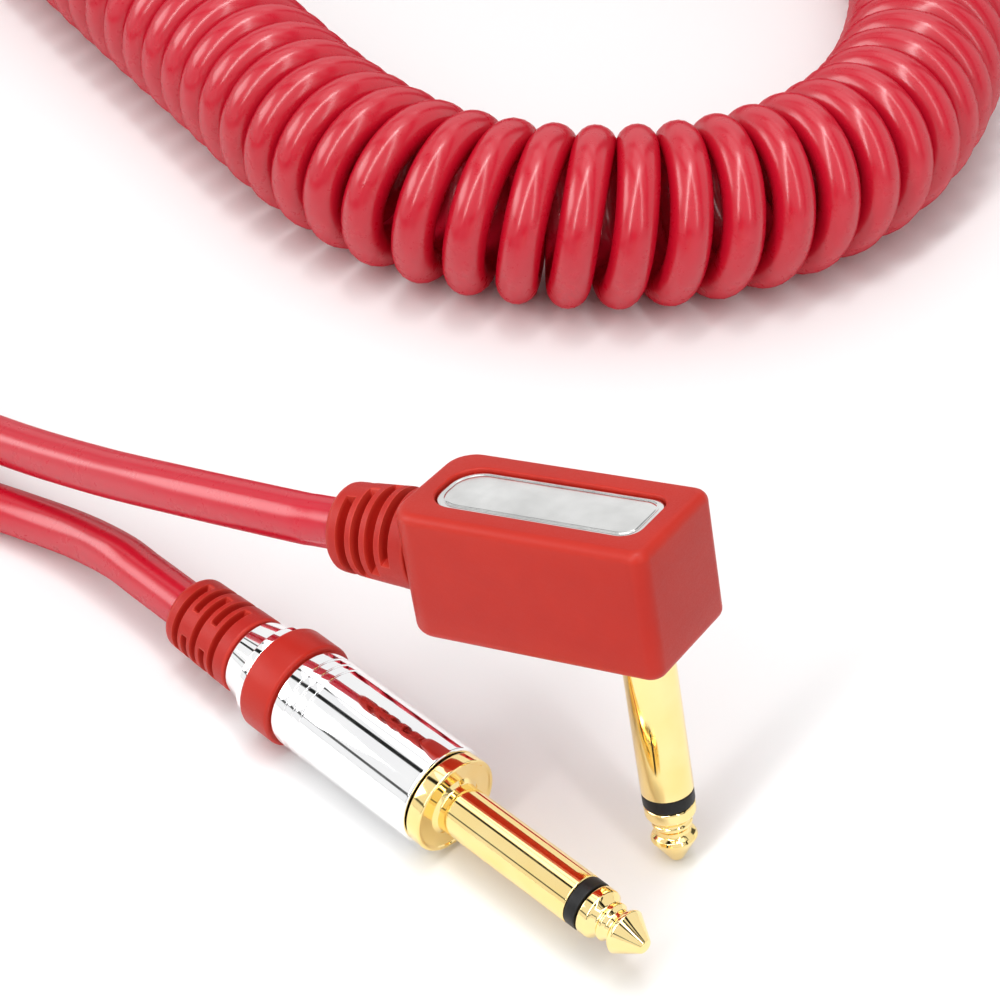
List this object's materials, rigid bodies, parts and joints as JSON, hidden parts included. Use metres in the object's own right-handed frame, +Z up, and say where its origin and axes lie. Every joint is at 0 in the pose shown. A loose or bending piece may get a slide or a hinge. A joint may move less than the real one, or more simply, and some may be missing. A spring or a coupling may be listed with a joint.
{
  "type": "instrument cable",
  "caption": "Coiled red audio lead with a straight metal-shell jack plug at one end and a moulded right-angle jack plug at the other.",
  "frame": {"origin": "on the surface that the cable lies on, under the middle of the two plugs together", "axes": "+X along the straight plug towards its tip, +Z up from the surface"},
  "size_m": [0.3094, 0.2561, 0.0477],
  "materials": {
    "gold_plate": "gold plated, polished",
    "chrome_plate": "bright chrome plated",
    "red_rubber": "satin moulded rubber",
    "red_moulding": "satin moulded plastic",
    "cord_jacket": "satin PVC jacket",
    "nameplate": "brushed, blank",
    "black_insulator": "moulded, satin",
    "phenolic": "matte laminate",
    "brass_terminal": "stamped, unplated",
    "copper_wire": "tinned copper strands",
    "wire_insulation": "extruded",
    "liner": "clear tube",
    "steel": "plated steel"
  },
  "bodies": {
    "cable": {"straight_tip": "gold_plate", "straight_tip_insulator": "black_insulator", "straight_sleeve": "gold_plate", "straight_rear_insulator": "phenolic", "straight_sleeve_lug": "brass_terminal", "straight_tip_lug": "brass_terminal", "straight_centre_wire": "wire_insulation", "straight_shield_pigtail": "copper_wire", "straight_liner": "liner", "straight_chuck": "black_insulator", "straight_cord_end": "cord_jacket", "angle_tip": "gold_plate", "angle_tip_insulator": "black_insulator", "angle_sleeve": "gold_plate", "angle_rear_insulator": "phenolic", "angle_sleeve_lug": "brass_terminal", "angle_tip_lug": "brass_terminal", "angle_fixing_nut": "steel", "angle_inner_case": "steel", "angle_case_cover": "steel", "angle_housing": "red_moulding", "angle_nameplate": "nameplate", "angle_boot": "red_rubber", "angle_cable_clamp": "brass_terminal", "angle_centre_wire": "wire_insulation", "angle_shield_pigtail": "copper_wire", "angle_cord_end": "cord_jacket", "straight_tail_cord": "cord_jacket", "coil_cord": "cord_jacket", "angle_tail_cord": "cord_jacket"},
    "ring": {"straight_id_ring": "red_moulding"},
    "shell": {"straight_shell": "chrome_plate"},
    "boot": {"straight_boot": "red_rubber"},
    "bushing": {"straight_tail_bushing": "chrome_plate"}
  },
  "joints": [
    {"name": "shell_travel", "type": "slide", "parent": "cable", "child": "ring", "axis": [-1, 0, 0], "range_m": [0, 0.006]},
    {"name": "shell_turn", "type": "hinge", "parent": "ring", "child": "shell", "pos_m": [0.0087, -0.0105, 0.0071], "axis": [-1, 0, 0], "range_deg": [0, 2160]},
    {"name": "boot_travel", "type": "slide", "parent": "shell", "child": "boot", "axis": [-1, 0, 0], "range_m": [0, 0.005]},
    {"name": "bushing_turn", "type": "hinge", "parent": "boot", "child": "bushing", "pos_m": [0.0087, -0.0105, 0.0071], "axis": [-1, 0, 0], "range_deg": [0, 1800]}
  ],
  "couplings": [
    {"joint": "shell_turn", "follows": "shell_travel", "rad_per_m": 6283.2},
    {"joint": "bushing_turn", "follows": "boot_travel", "rad_per_m": 6283.2}
  ]
}
